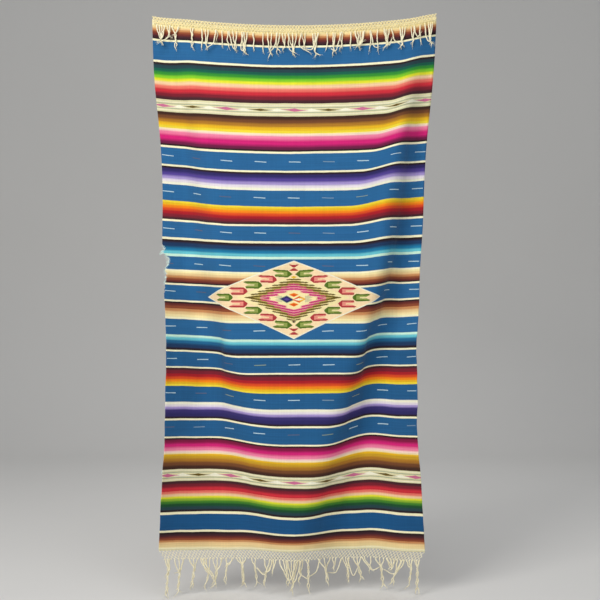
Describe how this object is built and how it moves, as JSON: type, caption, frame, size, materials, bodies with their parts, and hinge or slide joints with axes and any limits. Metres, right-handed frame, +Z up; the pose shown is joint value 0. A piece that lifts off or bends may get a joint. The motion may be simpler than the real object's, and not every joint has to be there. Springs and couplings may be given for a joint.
{
  "type": "mexican serape",
  "caption": "Handwoven striped wool serape with a centre diamond, hanging in soft folds from its two top corners, with knotted net headings and loose cotton fringe at both ends.",
  "frame": {"origin": "halfway between the two grips at the top corners, on the line that joins them", "axes": "+X to the viewer's right along the line of the grips, +Y away from the viewer, through the cloth, +Z up"},
  "size_m": [1.0939, 0.1763, 2.222],
  "materials": {
    "wool_weave": "matte weft-faced wool tapestry, blue ground with graded stripes",
    "cotton_warp": "matte plied natural cotton cord"
  },
  "bodies": {
    "root": {"woven_panel": "wool_weave", "top_fringe": "cotton_warp", "bottom_fringe": "cotton_warp"}
  },
  "joints": []
}
